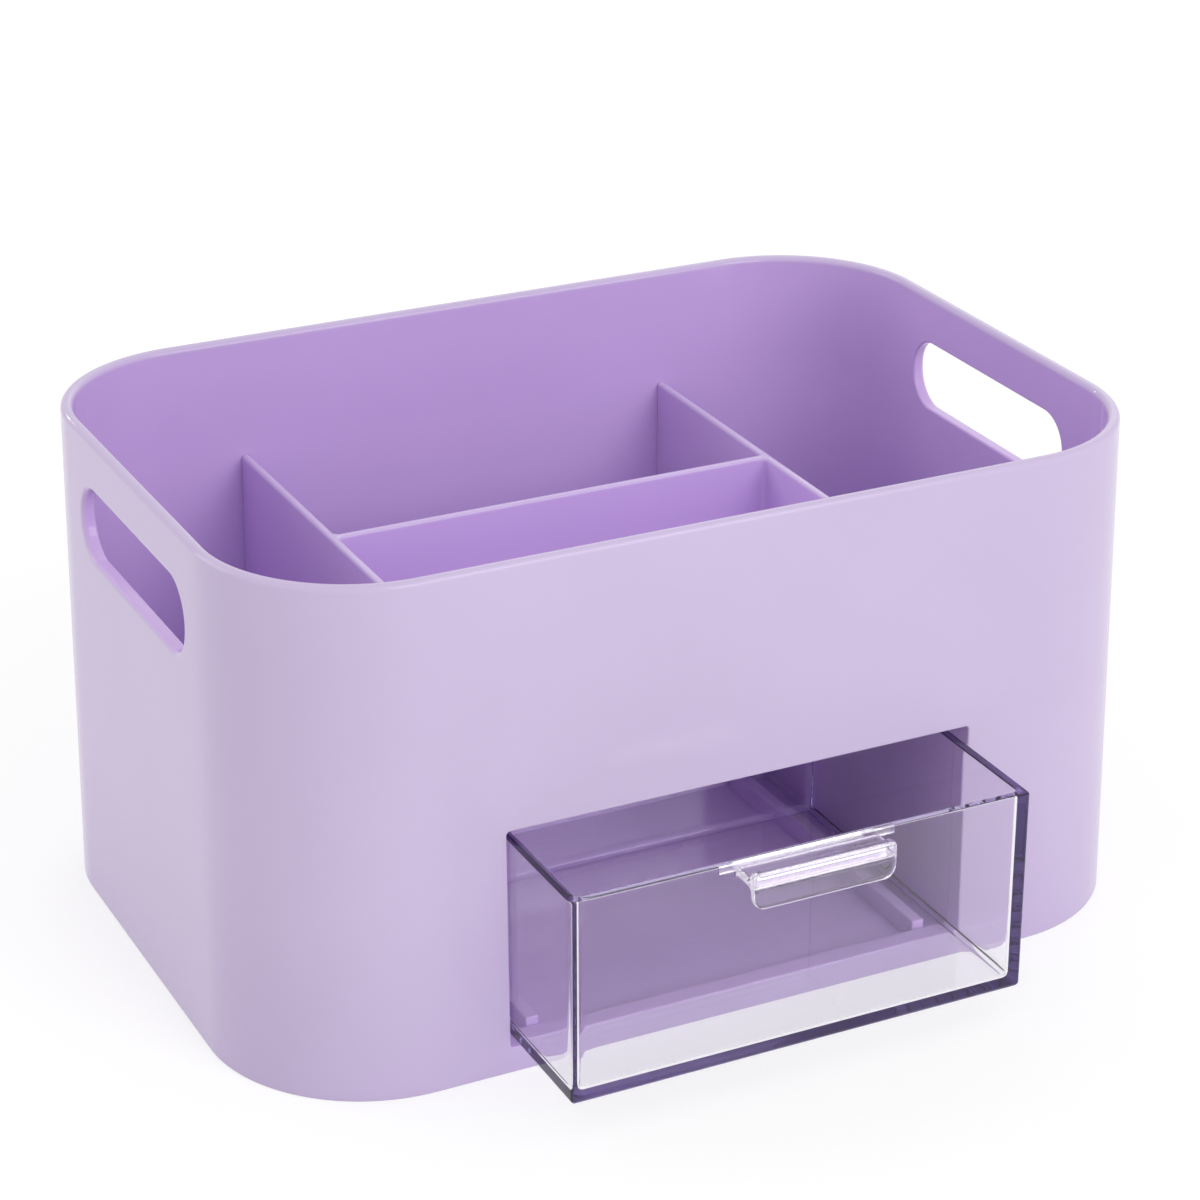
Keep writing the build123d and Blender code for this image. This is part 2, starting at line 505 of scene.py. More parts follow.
@dataclass(frozen=True)
class GlossPlastic:
    """Moulded gloss plastic: colour by height, slow drifts of shade, ripples, orange peel, a polished rim."""

    name: str
    bands: tuple[tuple[float, Colour], ...]  # heights, each with its colour; in the tote's materials these hold painted shade and painted light
    shade: float = 0.965  # what a drift leaves of the colour
    shine: float = 0.28
    roughness: float = 0.14
    drift: Grain = Grain(70.0, 3.0)
    drift_edge: tuple[float, float] = (0.3, 0.7)
    drift_haze: float = 0.03
    ripple: Grain = Grain(24.0, 1.0)
    ripple_depth: float = 0.10
    peel: Grain = Grain(0.9, 2.0)
    peel_depth: float = 0.004
    peel_haze: float = 0.04
    polish: float = 0.09  # how much smoother the rim is
    polished: tuple[float, float] = (112.5, 114.8)  # heights where the polish starts and is full

    def material(self) -> bpy.types.Material:
        """Builds the material.

        Returns:
            The material, with its pattern on Object coordinates.
        """
        made = bpy.data.materials.new(self.name)
        graph = Graph(made)
        place = graph.place()
        drift = graph.ramp(graph.noise(place, self.drift), *self.drift_edge)
        ripple, peel = graph.noise(place, self.ripple), graph.noise(place, self.peel)
        low, high = self.bands[0][0], self.bands[-1][0]
        height = graph.height(place)
        rise = (height - low * MM) / ((high - low) * MM)
        stops = [((level - low) / (high - low), colour) for level, colour in self.bands]
        body = graph.node("ShaderNodeValToRGB", {"stops": stops}, {0: rise}, output="Color")
        shaded = graph.node("ShaderNodeVectorMath", {"operation": "SCALE"}, {0: body, "Scale": self.shade})
        rim = graph.ramp(height, *(level * MM for level in self.polished))
        relief = ripple * (self.ripple_depth * MM) + peel * (self.peel_depth * MM)
        haze = (peel - NOISE_MIDDLE) * self.peel_haze + (drift - NOISE_MIDDLE) * self.drift_haze
        skin = {
            "Base Color": graph.blend(drift, shaded, body),
            "Roughness": self.roughness - rim * self.polish + haze,
            "IOR": PLASTIC_IOR,
            "Specular IOR Level": self.shine,
            "Normal": graph.bump(relief),
        }
        surface = graph.node("ShaderNodeBsdfPrincipled", {}, skin)
        graph.finish("ShaderNodeOutputMaterial", {"Surface": surface})
        return made


@dataclass(frozen=True)
class ClearPlastic:
    """Polished clear plastic, faintly tinted in its thickness, that lets light from lamps through."""

    name: str
    colour: Colour
    tint: Colour
    density: float
    lamp_tint: Colour = (0.95, 0.94, 0.965)  # what it leaves of a lamp's light
    roughness: float = 0.015
    wave: Grain = Grain(30.0, 1.0)
    wave_depth: float = 0.012
    smear: Grain = Grain(6.0, 4.0, 0.6)
    smear_haze: float = 0.01

    def material(self) -> bpy.types.Material:
        """Builds the material.

        Returns:
            The material, with its pattern on Object coordinates.
        """
        made = bpy.data.materials.new(self.name)
        graph = Graph(made)
        place = graph.place()
        wave, smear = graph.noise(place, self.wave), graph.noise(place, self.smear)
        skin = {
            "Base Color": graph.blend(smear, self.colour, WHITE_LIGHT),
            "Roughness": self.roughness + (smear - NOISE_MIDDLE) * self.smear_haze,
            "IOR": PLASTIC_IOR,
            "Transmission Weight": 1.0,
            "Normal": graph.bump(wave * (self.wave_depth * MM)),
        }
        glass = graph.node("ShaderNodeBsdfPrincipled", {}, skin)
        through = graph.node("ShaderNodeBsdfTransparent", {}, {"Color": self.lamp_tint})
        surface = graph.node("ShaderNodeMixShader", {}, {0: graph.rays(Ray.SHADOW), 1: glass, 2: through})
        inside = graph.node("ShaderNodeVolumeAbsorption", {}, {"Color": self.tint, "Density": self.density})
        graph.finish("ShaderNodeOutputMaterial", {"Surface": surface, "Volume": inside})
        return made


@dataclass(frozen=True)
class StudioWhite:
    """White sweep: plain to light that bounces, and brighter to whatever looks at it, with shadows kept."""

    name: str
    roughness: float = 0.9
    albedo: float = 0.8
    seen: float = 0.42  # albedo to whatever looks at it
    glow: float = 0.62

    def material(self) -> bpy.types.Material:
        """Builds the floor's material.

        Returns:
            The material.
        """
        made = bpy.data.materials.new(self.name)
        graph = Graph(made)
        skin = {"Base Color": (self.albedo,) * 3, "Roughness": self.roughness}
        plain = graph.node("ShaderNodeBsdfPrincipled", {}, skin)
        skin = {
            "Base Color": (self.seen,) * 3,
            "Roughness": self.roughness,
            "Specular IOR Level": 0.0,
            "Emission Color": WHITE_LIGHT,
            "Emission Strength": self.glow,
        }
        bright = graph.node("ShaderNodeBsdfPrincipled", {}, skin)
        looking = graph.rays(Ray.CAMERA, Ray.GLOSSY, Ray.TRANSMISSION)
        surface = graph.node("ShaderNodeMixShader", {}, {0: looking, 1: plain, 2: bright})
        graph.finish("ShaderNodeOutputMaterial", {"Surface": surface})
        return made


OUTSIDE: Colour = (0.59, 0.49, 0.705)
# painted shade: the outer wall's colour, darker towards its base
PAINTED_BASE_SHADE: Colour = (0.57, 0.468, 0.692)
# painted bounce light: a more saturated lavender inside the tote, for light that reflects round its walls
PAINTED_BOUNCE_LIGHT: Colour = (0.605, 0.43, 0.775)
# painted fill light: lighter low inside the tote and the insert, lifting the shade that deepens towards the
# floor
PAINTED_FILL_LOW: Colour = (0.69, 0.515, 0.855)
# painted bounce light: the insert's more saturated lavender above its lower part
PAINTED_INSERT_BOUNCE: Colour = (0.66, 0.475, 0.83)
# painted highlight: a lighter line along the insert's top edges
PAINTED_TOP_HIGHLIGHT: Colour = (0.67, 0.54, 0.82)

LAVENDER = GlossPlastic(
    name="lavender_gloss",
    # the outer wall, with painted shade darker towards its base
    bands=((0.0, PAINTED_BASE_SHADE), (40.0, OUTSIDE), (116.5, OUTSIDE)),
    roughness=0.18,
)
# the tote's inside, floor, runners and hole jambs: painted fill light low down, painted bounce light above,
# and the plastic's own colour on the rim's top
LAVENDER_PAINTED_INSIDE = GlossPlastic(
    name="lavender_gloss_painted_inside",
    bands=(
        (2.8, PAINTED_FILL_LOW), (50.0, PAINTED_FILL_LOW), (92.0, PAINTED_BOUNCE_LIGHT), (114.7, PAINTED_BOUNCE_LIGHT), (116.2, OUTSIDE), (116.5, OUTSIDE)
    ),
)
# the insert: painted fill light low down, painted bounce light above and a painted highlight along its top
# edges
LAVENDER_INSERT = GlossPlastic(
    name="lavender_gloss_insert",
    bands=((2.8, PAINTED_FILL_LOW), (50.0, PAINTED_FILL_LOW), (78.0, PAINTED_INSERT_BOUNCE), (86.2, PAINTED_INSERT_BOUNCE), (87.4, PAINTED_TOP_HIGHLIGHT)),
    polished=(86.0, 86.8),
)
CLEAR = ClearPlastic(
    name="clear_polished", colour=(0.985, 0.98, 0.99), tint=(0.57, 0.49, 0.76), density=24.0
)
CLEAR_PULL = ClearPlastic(
    name="clear_polished_pull", colour=(0.99, 0.985, 0.995), tint=(0.7, 0.6, 0.82), density=8.0
)
WHITE = StudioWhite(name="studio_white")


def in_scene(name: str, data: bpy.types.ID) -> bpy.types.Object:
    """Puts data in the scene as a new object, at the origin."""
    made = bpy.data.objects.new(name, data)
    bpy.context.scene.collection.objects.link(made)
    return made


def add_piece(
    mesh: bpy.types.Mesh, body: Body, slot: Slot, node: str, *finishes: GlossPlastic | ClearPlastic
) -> bpy.types.Object:
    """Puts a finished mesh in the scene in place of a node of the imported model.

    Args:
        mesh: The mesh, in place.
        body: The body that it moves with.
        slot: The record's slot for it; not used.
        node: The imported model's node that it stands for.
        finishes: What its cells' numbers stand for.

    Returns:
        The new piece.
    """
    piece = in_scene(mesh.name, mesh)
    for finish in finishes:
        mesh.materials.append(finish.material())
    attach(piece, body.value)
    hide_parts(node)
    mesh.calc_loop_triangles()
    dress = ", ".join(finish.name for finish in finishes)
    LOG.info("%s: %d triangles, %s", piece.name, len(mesh.loop_triangles), dress)
    return piece


# Tote


@dataclass
class WallHole:
    """A rounded hole through one side wall, and the block of the wall's cells that it takes the place of."""

    side: Side
    half_length: float
    half_height: float
    middle: float
    corner: float
    margin: float  # from the hole to the block's edge
    inner_low_margin: float  # the same, below the hole on the inner face
    outer_round: float
    inner_round: float
    length_cells: int
    height_cells: int
    turn_cells: int
    guard: float = 0.3  # first step from a rounded edge, which keeps its shading to itself
    round_cells: int = 7

    def rounding(self, radius: float) -> list[tuple[float, float]]:
        """How far outside the hole and how deep under the face each ring of a rounded edge lies."""
        rings = [(radius * (1 - np.sin(a)), radius * (1 - np.cos(a))) for a in quarter(self.round_cells)]
        return [(radius + self.guard, 0.0), *rings, (0.0, radius + self.guard)]

    def columns(self) -> Array:
        """Places along the wall that the block's cells need, from its middle."""
        straight, edge = self.half_length - self.corner, self.half_length + self.margin
        cells = [self.turn_cells, self.length_cells, self.turn_cells]
        return stations([-edge, -straight, straight, edge], cells)

    def heights(self, inside: bool) -> Array:
        """Heights that the block's cells need, on the outer or the inner face."""
        straight = self.half_height - self.corner
        low = self.half_height + (self.inner_low_margin if inside else self.margin)
        stops = [-low, -straight, straight, self.half_height + self.margin]
        return self.middle + stations(stops, [self.turn_cells, self.height_cells, self.turn_cells])

    def block(self, inside: bool) -> Array:
        """The block's edge, anticlockwise as seen from outside, as rows of place and height."""
        s, z = self.columns(), self.heights(inside)
        places = np.concatenate([s[:-1], np.full(len(z) - 1, s[-1]), s[:0:-1], np.full(len(z) - 1, s[0])])
        heights = np.concatenate([np.full(len(s) - 1, z[0]), z[:-1], np.full(len(s) - 1, z[-1]), z[:0:-1]])
        return np.column_stack([places, heights])

    def edge(self, wider: float) -> Array:
        """The hole's edge drawn outwards by wider: corner centres plus the radius along a turning direction.

        Args:
            wider: How far outside the hole the line runs.

        Returns:
            Rows of place and height, each matched with the row of the block.
        """
        lengths = [self.length_cells, self.height_cells] * 2
        half = np.array([self.half_length - self.corner, self.half_height - self.corner])
        corners = np.array([[-1, -1], [1, -1], [1, 1], [-1, 1]]) * half
        half_corner = math.pi / 4
        points = []
        for k, cells in enumerate(lengths):
            start, end = corners[k], corners[(k + 1) % 4]
            down = -math.pi / 2 + k * math.pi / 2
            angle = np.concatenate([
                down + np.linspace(-half_corner, 0, self.turn_cells, endpoint=False),
                np.full(cells, down),
                down + np.linspace(0, half_corner, self.turn_cells, endpoint=False),
            ])
            run = np.linspace(0, 1, cells, endpoint=False)
            run = np.concatenate([np.zeros(self.turn_cells), run, np.ones(self.turn_cells)])[:, None]
            centre = start + run * (end - start)
            points.append(centre + (self.corner + wider) * directions(angle))
        return np.vstack(points) + [0.0, self.middle]


@dataclass
class ToteShell:
    """The tote: leaning walls with a rounded rim, a grip hole in each end, the drawer's window, runners."""

    core: tuple[float, float] = (72.5, 39.5)  # centres of the corners' curves
    height: float = 116.5
    rim_reach: float = 35.0
    flare: float = 1.8
    inner_reach: float = 32.2
    floor: float = 2.8
    floor_round: float = 3.0
    base_round: float = 0.4
    rim_round: float = 1.35
    guard: float = 0.35
    corner_cells: int = 30
    base_cells: int = 5
    floor_cells: int = 9
    rim_cells: int = 10
    plain_cells: int = 4  # from the window to the corner, along the front
    between_cells: int = 8  # from the window's heights to the grips'
    recess: float = 0.4
    standing_band: float = 6.5
    recess_edge: tuple[tuple[float, float], ...] = (  # distances inside the band, with shares of the depth
        (1.2, 1.0), (0.8, 1.0), (0.4, 0.9), (0.1, 0.1)
    )
    runner_x: float = 46.7
    runner_half_width: float = 1.5
    runner_top: float = 7.8
    runner_ends: tuple[float, float] = (-71.2, 15.487)
    runner_round: float = 0.4
    runner_sink: float = 0.4
    runner_cells: int = 5
    grips: list[WallHole] = field(default_factory=lambda: [
        WallHole(
            side, half_length=32.5, half_height=8.35, middle=96.4, corner=8.0, margin=2.3,
            inner_low_margin=2.3, outer_round=1.2, inner_round=0.5,
            length_cells=20, height_cells=2, turn_cells=10,
        )
        for side in (Side.RIGHT, Side.LEFT)
    ])
    window: WallHole = field(default_factory=lambda: WallHole(
        Side.FRONT, half_length=55.4, half_height=25.5, middle=31.5, corner=0.8, margin=1.4,
        inner_low_margin=0.2, outer_round=0.4, inner_round=0.0,
        length_cells=40, height_cells=18, turn_cells=3,
    ))

    @property
    def lean(self) -> float:
        """How far the outer wall leans inwards, as an angle."""
        return math.atan(self.flare / self.height)

    def outer_reach(self, height: Array | float) -> Array | float:
        """Outer face's distance from the corner centres, less the higher it is."""
        return self.rim_reach + self.flare * (1 - height / self.height)

    def rounding_centre(self, height: float, radius: float) -> tuple[float, float]:
        """Centre, at this height, of a circle of this radius that touches the outer face from inside."""
        foot = self.rim_reach + self.flare
        return foot - (radius + height * math.sin(self.lean)) / math.cos(self.lean), height

    def outline(self) -> Outline:
        """Places round the tote, with the columns that the holes need."""
        window, grip = self.window.columns(), self.grips[0].columns()
        plain = np.linspace(window[-1], self.core[0], self.plain_cells + 1)[1:]
        front = np.concatenate([-plain[::-1], window, plain])
        end = np.concatenate([[-self.core[1]], grip, [self.core[1]]])
        return Outline.of(front, end, self.corner_cells)

    def wall_heights(self, inside: bool) -> Array:
        """Heights of the wall's rows between its roundings, with those that the holes need."""
        first = [] if inside else [self.base_round + 2 * self.guard]
        window, grip = self.window.heights(inside), self.grips[0].heights(inside)
        between = np.linspace(window[-1], grip[0], self.between_cells + 1)[1:-1]
        high = self.height - self.rim_round - self.guard
        return np.concatenate([first, window, between, grip, [(grip[-1] + high) / 2, high]])

    def profile(self) -> tuple[Array, slice, slice]:
        """The section, from the middle of the underside, up the wall, over the rim and down to the floor.

        Returns:
            The profile's rows, and which of them lie on the outer and on the inner face.
        """
        lean = math.degrees(self.lean)
        base = self.rounding_centre(self.base_round, self.base_round)
        rim_z = self.height - self.rim_round
        rim = self.rounding_centre(rim_z, self.rim_round)
        band = base[0] - self.standing_band
        floor_z = self.floor + self.floor_round
        under = np.array([
            (0, self.recess), (band / 2, self.recess),
            *((band - inside, share * self.recess) for inside, share in self.recess_edge),
            (band, 0), (band + self.guard, 0), (base[0] - self.guard, 0),
        ])
        foot = self.inner_reach - self.floor_round
        outer, inner = self.wall_heights(False), self.wall_heights(True)[::-1]
        parts = [
            under,
            arc(base, self.base_round, -90, lean, self.base_cells),
            np.column_stack([self.outer_reach(outer), outer]),
            arc(rim, self.rim_round, lean, 90, self.rim_cells),
            arc((self.inner_reach + self.rim_round, rim_z), self.rim_round, 90, 180, self.rim_cells),
            np.column_stack([np.full(len(inner), self.inner_reach), inner]),
            arc((foot, floor_z), self.floor_round, 0, -90, self.floor_cells)[1:],
            np.array([(foot - self.guard, self.floor), (self.inner_reach / 2, self.floor), (0, self.floor)]),
        ]
        ends = np.cumsum([len(part) for part in parts])
        rows = np.vstack(parts)
        made = profile_rows(self.core, rows[:, 0], rows[:, 1])
        # part 2 is the outer face, and part 5 the inner one
        return made, slice(ends[1], ends[2]), slice(ends[4], ends[5])

    def on_wall(self, hole: WallHole, edge: Array, reach: Array | float) -> Array:
        """Points of a wall: the side's middle, plus places along it, plus a distance out of it.

        Args:
            hole: The hole, for its side.
            edge: Rows of place along the side and height.
            reach: Distance out from the corner centres.

        Returns:
            Rows of three coordinates.
        """
        _, depth = hole.side.half(self.core)
        out = np.broadcast_to(depth + reach, len(edge))[:, None] * hole.side.outward
        return np.column_stack([edge[:, :1] * hole.side.along + out, edge[:, 1]])

    def collar(self, hole: WallHole) -> Array:
        """Rings from the block on the outer face, over the rounded edges, to the block on the inner face.

        Args:
            hole: The hole.

        Returns:
            Grid of points, one row for each ring.
        """
        block = hole.block(False)
        outer = [(hole.edge(wider), depth) for wider, depth in hole.rounding(hole.outer_round)]
        # the inner edge's rings run out of the hole, so that their two distances are swapped
        inner = hole.rounding(hole.inner_round) if hole.inner_round else [(0.0, 0.0)]
        return np.stack([
            self.on_wall(hole, block, self.outer_reach(block[:, 1])),
            *(self.on_wall(hole, edge, self.outer_reach(edge[:, 1]) - depth) for edge, depth in outer),
            *(self.on_wall(hole, hole.edge(wider), self.inner_reach + depth) for depth, wider in inner),
            self.on_wall(hole, hole.block(True), self.inner_reach),
        ])

    def without_blocks(self, outline: Outline, profile: Array, outer: slice, inner: slice) -> Array:
        """Which cells of the swept wall are made: all but the blocks of the holes.

        Args:
            outline: The tote's outline.
            profile: Its section.
            outer: The section's rows on the outer face.
            inner: Its rows on the inner face.

        Returns:
            True for each cell to make.
        """
        keep = np.ones((len(profile) - 1, len(outline.fixed)), bool)
        for hole in (*self.grips, self.window):
            half = hole.columns()[-1]
            side = (outline.fixed @ hole.side.along, outline.fixed @ hole.side.outward)
            on_side = np.isclose(side[1], hole.side.half(self.core)[1])
            columns = np.flatnonzero(on_side & (np.abs(side[0]) < half + WELD))[:-1]
            for rows, inside in ((outer, False), (inner, True)):
                z, block = profile[:, 3], hole.heights(inside)
                middle = (z[:-1] + z[1:]) / 2
                within = (middle > block[0]) & (middle < block[-1])
                within[: rows.start] = within[rows.stop - 1 :] = False
                keep[np.ix_(np.flatnonzero(within), columns)] = False
        return keep

    def runner(self, x: float) -> Array:
        """A bar along the floor: its rounded section, run from one end to the other and drawn in at both.

        Args:
            x: Its middle.

        Returns:
            Grid of points, its rows going from end to end and its columns round the section.
        """
        r, half, foot = self.runner_round, self.runner_half_width, self.floor - self.runner_sink
        section = np.vstack([
            [(half, foot)], arc((half - r, self.runner_top - r), r, 0, 90, self.runner_cells),
            arc((r - half, self.runner_top - r), r, 90, 180, self.runner_cells), [(-half, foot)],
        ])
        turn = quarter(self.runner_cells)
        start, end = self.runner_ends
        inset, step = r * (1 - np.sin(turn)), r * (1 - np.cos(turn))
        drawn = np.concatenate([[half], inset, inset[::-1], [half]])
        places = np.concatenate([[start], start + step, end - step[::-1], [end]])
        middle = np.array([0.0, (foot + self.runner_top) / 2])
        scale = 1 - drawn[:, None, None] / [half, (self.runner_top - foot) / 2]
        flat = middle + (section - middle) * scale
        return np.dstack([x + flat[..., 0], np.broadcast_to(places[:, None], flat.shape[:2]), flat[..., 1]])

    def build(self) -> bpy.types.Mesh:
        """Makes the mesh.

        Returns:
            One closed wall with its holes, and the two runners that stand in its floor.
        """
        outline = self.outline()
        profile, outer, inner = self.profile()
        rim_top = inner.start - self.rim_cells - 1
        # cells from the rim's top inwards take the inside material, with its painted bounce light and fill
        inside = (np.arange(len(profile) - 1) >= rim_top).astype(int)
        solid = Solid()
        keep = self.without_blocks(outline, profile, outer, inner)
        solid.grid(outline.sweep(profile), ring=True, keep=keep, finish=inside)
        for hole in (*self.grips, self.window):
            rings = self.collar(hole)
            # rings from the middle of the outer rounding inwards take the inside material and its painted
            # bounce light
            middle = 2 + hole.round_cells // 2  # of the outer edge's rounding
            solid.grid(rings, ring=True, finish=(np.arange(len(rings) - 1) >= middle).astype(int))
        across = outline.fixed[outline.sides[Side.FRONT], 0]
        along = outline.fixed[outline.sides[Side.RIGHT], 1]
        # the floor and the runners take the inside material, with its painted fill light
        solid.grid(plate(across, along, self.floor), finish=PAINTED_INSIDE_INDEX)
        solid.grid(plate(across, along, self.recess), flip=True)
        for x in (-self.runner_x, self.runner_x):
            solid.grid(self.runner(x), ring=True, flip=True, finish=PAINTED_INSIDE_INDEX)
        return solid.mesh("tote_shell_wall")

    def add(self) -> None:
        """Builds and dresses the tote."""
        add_piece(self.build(), Body.TOTE, Slot.TOTE, "tote_shell", LAVENDER, LAVENDER_PAINTED_INSIDE)


@dataclass
class DividerInsert:
    """The dividers, the deck over the drawer and the cheeks beside it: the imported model's node, dressed."""

    node: str = "divider_insert"

    def add(self) -> None:
        """Dresses the insert."""
        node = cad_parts[self.node]
        finish = LAVENDER_INSERT.material()
        for slot in node.material_slots:
            slot.material = finish
        LOG.info("%s: packed node, %s", self.node, finish.name)


# Drawer


@dataclass
class DrawerBox:
    """The clear drawer: thin walls with a rounded foot and lip, and the seat of the pull in its front rim."""

    middle: tuple[float, float] = (-1.4, -59.763)
    half: tuple[float, float] = (53.7, 45.25)
    bottom: float = 8.0
    rim: float = 55.3
    wall: float = 2.0
    floor: float = 2.2
    outer_corner: float = 0.7
    foot_corner: float = 0.3
    inner_corner: float = 1.5
    foot_round: float = 1.4
    lip_round: float = 0.35
    corner_cells: int = 8
    foot_cells: int = 8
    lip_cells: int = 6
    floor_cells: int = 8
    side_cells: int = 12
    front_cells: tuple[int, ...] = (5, 2, 12, 2, 5)  # between the ends, the seat's and the root's ends
    end_cells: int = 2
    seat_half: float = 20.5
    seat_height: float = 1.7
    root_half: float = 16.7
    root_height: float = 2.9
    seat_depth: float = 1.2
    seat_back_round: float = 0.05
    guard: float = 0.25
    rows: tuple[float, ...] = (20.0, 32.0, 44.0)  # heights of the walls' plain rows
    fixed_half: tuple[float, float] = (46.0, 38.0)

    def outline(self) -> Outline:
        """Places round the drawer, with the columns that the seat needs."""
        x, y = self.fixed_half
        stops = [-x, -self.seat_half, -self.root_half, self.root_half, self.seat_half, x]
        across = stations(stops, self.front_cells)
        along = np.linspace(-y, y, self.side_cells + 1)
        return Outline.of(across, along, self.corner_cells, ends=self.end_cells)

    def outer_core(self, inset: float, radius: float) -> tuple[float, float]:
        """Corner centres of an outline that lies inset from the outer faces, with this corner radius."""
        return self.half[0] - inset - radius, self.half[1] - inset - radius

    def profile(self) -> tuple[Array, int, int, int]:
        """The section, from the underside up the outer face, over the rim and down to the floor.

        Returns:
            The rows, and which of them are at the root's foot, at the seat's foot and at the seat's back.
        """
        foot = []
        for angle in quarter(self.foot_cells):
            inset = self.foot_round * (1 - math.sin(angle))
            radius = self.outer_corner - (self.outer_corner - self.foot_corner) * inset / self.foot_round
            height = self.bottom + self.foot_round * (1 - math.cos(angle))
            foot.append((*self.outer_core(inset, radius), radius, height))
        under = profile_rows(foot[0][:2], [0.0], self.bottom)
        core = self.outer_core(0, self.outer_corner)
        lip_z = self.rim - self.lip_round
        low = self.bottom + self.foot_round
        root_z, seat_z = self.rim - self.root_height, self.rim - self.seat_height
        wall = [low + self.guard, *self.rows, root_z, seat_z, lip_z - self.guard]
        lip = arc((self.outer_corner - self.lip_round, lip_z), self.lip_round, 0, 90, self.lip_cells)
        back_core = self.outer_core(self.seat_depth, self.seat_back_round)
        inner_core = self.outer_core(self.wall, self.inner_corner)
        inner_lip_x = self.inner_corner + self.lip_round
        inner_lip = arc((inner_lip_x, lip_z), self.lip_round, 90, 180, self.lip_cells)
        inner_low = self.bottom + self.floor + self.inner_corner
        inner_wall = [lip_z - self.guard, *self.rows[::-1], inner_low + self.guard]
        floor_turn = arc((0.0, inner_low), self.inner_corner, 0, -90, self.floor_cells)
        parts = [
            under,
            np.array(foot),
            profile_rows(core, self.outer_corner, wall),
            profile_rows(core, lip[:, 0], lip[:, 1]),
            profile_rows(back_core, [self.seat_back_round], self.rim),
            profile_rows(inner_core, inner_lip[:, 0], inner_lip[:, 1]),
            profile_rows(inner_core, self.inner_corner, inner_wall),
            profile_rows(inner_core, floor_turn[:, 0], floor_turn[:, 1]),
        ]
        ends = np.cumsum([len(part) for part in parts])
        # part 2 is the outer wall, and part 4 the seat's back
        root = ends[1] + wall.index(root_z)
        return np.vstack(parts), root, root + 1, ends[3]

    def seat(
        self, solid: Solid, swept: Array, columns: dict[float, int], root: int, foot: int, back: int
    ) -> None:
        """Adds the seat's faces: its back, its two levels of ledge, its ends and the risers between.

        Args:
            solid: The drawer's patches.
            swept: The drawer's swept grid, whose edges round the seat are shared.
            columns: Column of the grid at each end of the seat and of the root.
            root: Row at the foot of the root.
            foot: Row at the foot of the seat.
            back: Row at the back of the seat.
        """
        left, right = columns[-self.seat_half], columns[self.seat_half]
        inner_left, inner_right = columns[-self.root_half], columns[self.root_half]
        back_y = swept[back, left, 1]

        def drawn_back(points: Array) -> Array:
            """The same points moved to the seat's back."""
            moved = points.copy()
            moved[..., 1] = back_y
            return moved

        rise, step = swept[foot : back + 1], swept[root : foot + 1]
        solid.grid(drawn_back(rise[:-1, left : right + 1]))
        solid.grid(drawn_back(step[:, inner_left : inner_right + 1]))
        ledges = ((foot, left, inner_left), (foot, inner_right, right), (root, inner_left, inner_right))
        for row, first, last in ledges:
            edge = swept[row, first : last + 1]
            solid.grid(np.stack([edge, drawn_back(edge)]))
        for column, rows in ((left, rise), (right, rise), (inner_left, step), (inner_right, step)):
            edge = rows[:, column]
            solid.grid(np.stack([edge, drawn_back(edge)], axis=1), flip=column in (right, inner_right))

    def build(self) -> bpy.types.Mesh:
        """Makes the mesh.

        Returns:
            One closed box with its seat.
        """
        outline = self.outline()
        profile, root, foot, back = self.profile()
        swept = outline.sweep(profile)
        front, right = outline.sides[Side.FRONT], outline.sides[Side.RIGHT]
        columns = {
            place: int(np.argmin(np.abs(swept[0, front, 0] - place)))
            for place in (-self.seat_half, -self.root_half, self.root_half, self.seat_half)
        }
        keep = np.ones((len(profile) - 1, len(outline.fixed)), bool)
        keep[foot:back, columns[-self.seat_half] : columns[self.seat_half]] = False
        keep[root:foot, columns[-self.root_half] : columns[self.root_half]] = False
        swept = swept + [*self.middle, 0.0]
        solid = Solid()
        solid.grid(swept, ring=True, keep=keep)
        self.seat(solid, swept, columns, root, foot, back)
        for row, flip in ((0, True), (-1, False)):
            solid.grid(plate(swept[row, front, 0], swept[row, right, 1], profile[row, 3]), flip=flip)
        return solid.mesh("drawer_box_clear")

    def add(self) -> None:
        """Builds and dresses the drawer."""
        add_piece(self.build(), Body.DRAWER, Slot.DRAWER, "drawer_box", CLEAR)


